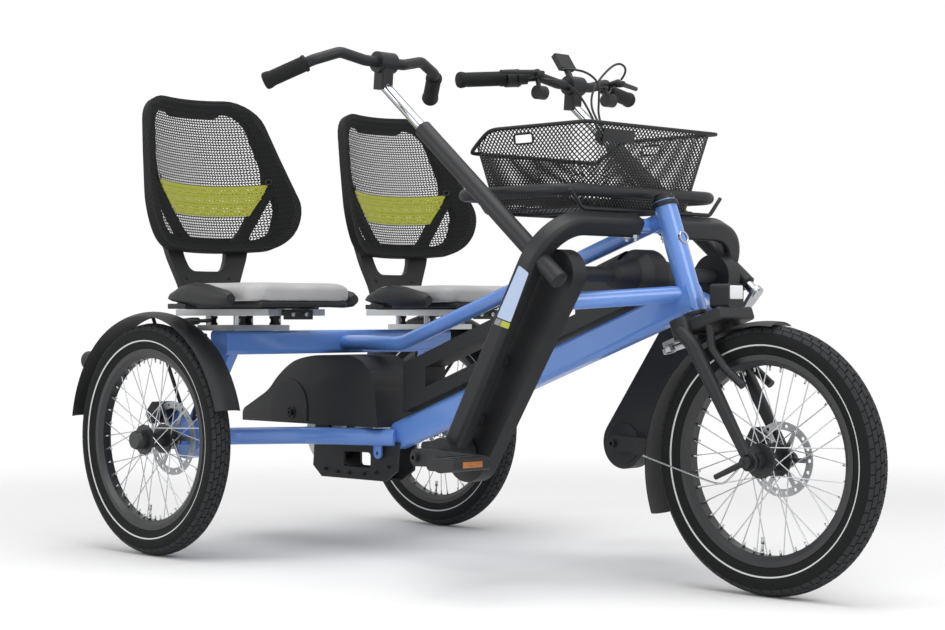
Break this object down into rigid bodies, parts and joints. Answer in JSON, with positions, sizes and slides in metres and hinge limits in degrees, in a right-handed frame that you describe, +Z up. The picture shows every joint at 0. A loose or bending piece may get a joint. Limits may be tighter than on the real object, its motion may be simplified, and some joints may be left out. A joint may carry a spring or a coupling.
{
  "type": "side-by-side tandem tricycle",
  "caption": "Pedal tricycle for two riders side by side, with a steered front wheel, sliding mesh-backed seats, twin crank units and a front basket.",
  "frame": {"origin": "on the ground, at the middle of the machine's whole length and width", "axes": "+X forward, +Y to the riders' left, +Z up"},
  "size_m": [1.8335, 1.092, 1.097],
  "materials": {
    "blue_paint": "gloss",
    "black_paint": "satin",
    "black_plastic": "moulded, fine grain",
    "black_alloy": "anodised",
    "chrome": "polished",
    "alloy": "machined",
    "steel": "brushed",
    "tyre_rubber": "matte",
    "grip_rubber": "matte",
    "cushion_cloth": "coated cloth",
    "mesh_cloth": "open mesh",
    "wire_mesh": "powder coat",
    "red_lens": "lens"
  },
  "bodies": {
    "frame": {"head_tube": "blue_paint", "down_tube": "blue_paint", "top_tube": "blue_paint", "seat_beam": "blue_paint", "wheel_carriers": "blue_paint", "rear_calipers": "black_alloy", "lower_tubes": "blue_paint", "outriggers": "blue_paint", "gear_hub": "alloy", "drive_shaft": "steel", "drive_cradle": "black_paint", "rear_cover": "black_plastic", "drive_motor": "black_plastic", "chain_guard": "black_plastic", "pedal_booms": "black_paint", "column_sleeves": "black_paint", "chain_cases": "black_plastic", "passenger_quill": "chrome", "passenger_bar": "black_paint", "passenger_grips": "grip_rubber", "rear_fenders": "black_plastic", "tail_lamps": "red_lens", "basket_rack": "black_paint", "basket": "wire_mesh", "seat_mounts": "alloy"},
    "fork": {"fork": "black_paint", "front_axle": "steel", "steering_lever": "alloy", "front_caliper": "black_alloy", "front_fender": "black_plastic", "ring_lock": "black_plastic", "headlamp": "black_plastic"},
    "front_wheel": {"front_tyre": "tyre_rubber", "front_wheel": "black_paint", "front_rotor": "steel"},
    "rear_wheel_right": {"rear_tyre_right": "tyre_rubber", "rear_wheel_right": "black_paint", "rear_rotor_right": "steel"},
    "rear_wheel_left": {"rear_tyre_left": "tyre_rubber", "rear_wheel_left": "black_paint", "rear_rotor_left": "steel"},
    "driver_bar": {"driver_column": "chrome", "driver_bar": "black_paint", "driver_grips": "grip_rubber", "driver_controls": "black_plastic", "steering_arm": "alloy"},
    "tie_rod": {"tie_rod": "alloy"},
    "cranks_right": {"cranks_right": "black_paint"},
    "cranks_left": {"cranks_left": "black_paint"},
    "pedal_right_inner": {"pedal_right_inner": "black_plastic"},
    "pedal_right_outer": {"pedal_right_outer": "black_plastic"},
    "pedal_left_inner": {"pedal_left_inner": "black_plastic"},
    "pedal_left_outer": {"pedal_left_outer": "black_plastic"},
    "seat_right": {"seat_pan_right": "black_plastic", "seat_cushion_right": "cushion_cloth", "seat_back_right": "mesh_cloth"},
    "seat_left": {"seat_pan_left": "black_plastic", "seat_cushion_left": "cushion_cloth", "seat_back_left": "mesh_cloth"}
  },
  "joints": [
    {"name": "steer", "type": "hinge", "parent": "frame", "child": "fork", "pos_m": [0.499, -0.024, 0.51], "axis": [-0.3322, 0, 0.9432], "range_deg": [-30, 30]},
    {"name": "bar_turn", "type": "hinge", "parent": "frame", "child": "driver_bar", "pos_m": [-0.0775, 0.259, 0.983], "axis": [-0.7677, 0, 0.6408], "range_deg": [-25.38, 25.38]},
    {"name": "tie_rod_swing", "type": "hinge", "parent": "driver_bar", "child": "tie_rod", "pos_m": [0.39112, 0.259, 0.49418], "axis": [0.795, -0.1777, -0.58], "range_deg": [-24.54, 24.54]},
    {"name": "front_wheel_spin", "type": "hinge", "parent": "fork", "child": "front_wheel", "pos_m": [0.667, -0.024, 0.25], "axis": [0, 1, 0], "continuous": true},
    {"name": "rear_wheel_right_spin", "type": "hinge", "parent": "frame", "child": "rear_wheel_right", "pos_m": [-0.645, -0.454, 0.25], "axis": [0, 1, 0], "continuous": true},
    {"name": "rear_wheel_left_spin", "type": "hinge", "parent": "frame", "child": "rear_wheel_left", "pos_m": [-0.645, 0.406, 0.25], "axis": [0, 1, 0], "continuous": true},
    {"name": "cranks_right_spin", "type": "hinge", "parent": "frame", "child": "cranks_right", "pos_m": [0.131, -0.314, 0.248], "axis": [0, 1, 0], "continuous": true},
    {"name": "cranks_left_spin", "type": "hinge", "parent": "frame", "child": "cranks_left", "pos_m": [0.131, 0.266, 0.248], "axis": [0, 1, 0], "continuous": true},
    {"name": "pedal_right_inner_spin", "type": "hinge", "parent": "cranks_right", "child": "pedal_right_inner", "pos_m": [-0.039, -0.214, 0.248], "axis": [0, 1, 0], "continuous": true},
    {"name": "pedal_right_outer_spin", "type": "hinge", "parent": "cranks_right", "child": "pedal_right_outer", "pos_m": [0.301, -0.404, 0.248], "axis": [0, 1, 0], "continuous": true},
    {"name": "pedal_left_inner_spin", "type": "hinge", "parent": "cranks_left", "child": "pedal_left_inner", "pos_m": [0.301, 0.166, 0.248], "axis": [0, 1, 0], "continuous": true},
    {"name": "pedal_left_outer_spin", "type": "hinge", "parent": "cranks_left", "child": "pedal_left_outer", "pos_m": [-0.039, 0.356, 0.248], "axis": [0, 1, 0], "continuous": true},
    {"name": "seat_right_slide", "type": "slide", "parent": "frame", "child": "seat_right", "axis": [1, 0, 0], "range_m": [-0.06, 0.12]},
    {"name": "seat_left_slide", "type": "slide", "parent": "frame", "child": "seat_left", "axis": [1, 0, 0], "range_m": [-0.06, 0.12]}
  ],
  "couplings": [
    {"joint": "bar_turn", "follows": "steer", "ratio": 0.846},
    {"joint": "tie_rod_swing", "follows": "steer", "ratio": 0.818}
  ]
}
